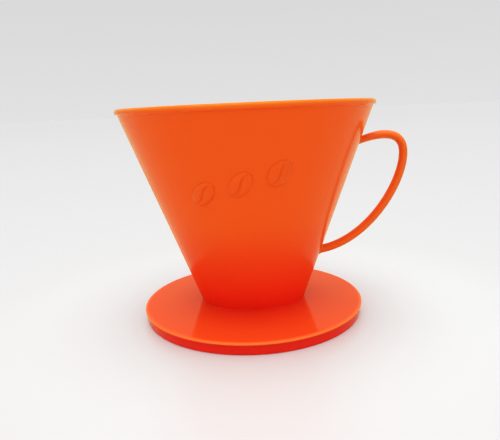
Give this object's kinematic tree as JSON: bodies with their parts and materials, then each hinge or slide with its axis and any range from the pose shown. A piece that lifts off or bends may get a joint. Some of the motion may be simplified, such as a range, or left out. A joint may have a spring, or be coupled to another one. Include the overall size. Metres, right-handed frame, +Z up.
{
  "type": "pour over coffee dripper",
  "caption": "Glossy orange plastic pour-over coffee cone with a round mouth, oval base, ear handle and a skirted disc flange that sits on a cup.",
  "frame": {"origin": "middle of the part's bounding box in plan, on the plane that the skirt stands on; the cone's vertical axis is 8.35 mm to -X of it, because the handle reaches out past the rim", "axes": "+Z up, -Y the front with the raised emblem, +X towards the handle and along the long way of the oval base"},
  "size_m": [0.1447, 0.128, 0.108],
  "materials": {
    "wall_plastic": "glossy moulded, slightly translucent orange",
    "rim_plastic": "glossy moulded, thin edge that lets more light through",
    "flange_plastic": "mirror-glossy moulded orange",
    "skirt_plastic": "glossy moulded, deep red-orange where light is trapped",
    "handle_plastic": "glossy moulded orange",
    "rib_plastic": "satin-gloss moulded orange",
    "floor_plastic": "satin-gloss moulded orange",
    "emblem_plastic": "glossy moulded, the same orange as the wall"
  },
  "bodies": {
    "root": {"cone_wall": "wall_plastic", "rim_lip": "rim_plastic", "base_flange": "flange_plastic", "flange_skirt": "skirt_plastic", "locating_ring": "skirt_plastic", "drain_floor": "floor_plastic", "handle": "handle_plastic", "flow_rib_01": "rib_plastic", "flow_rib_02": "rib_plastic", "flow_rib_03": "rib_plastic", "flow_rib_04": "rib_plastic", "flow_rib_05": "rib_plastic", "flow_rib_06": "rib_plastic", "flow_rib_07": "rib_plastic", "flow_rib_08": "rib_plastic", "flow_rib_09": "rib_plastic", "flow_rib_10": "rib_plastic", "flow_rib_11": "rib_plastic", "flow_rib_12": "rib_plastic", "emblem_bean_left": "emblem_plastic", "emblem_bean_middle": "emblem_plastic", "emblem_bean_right": "emblem_plastic"}
  },
  "joints": []
}
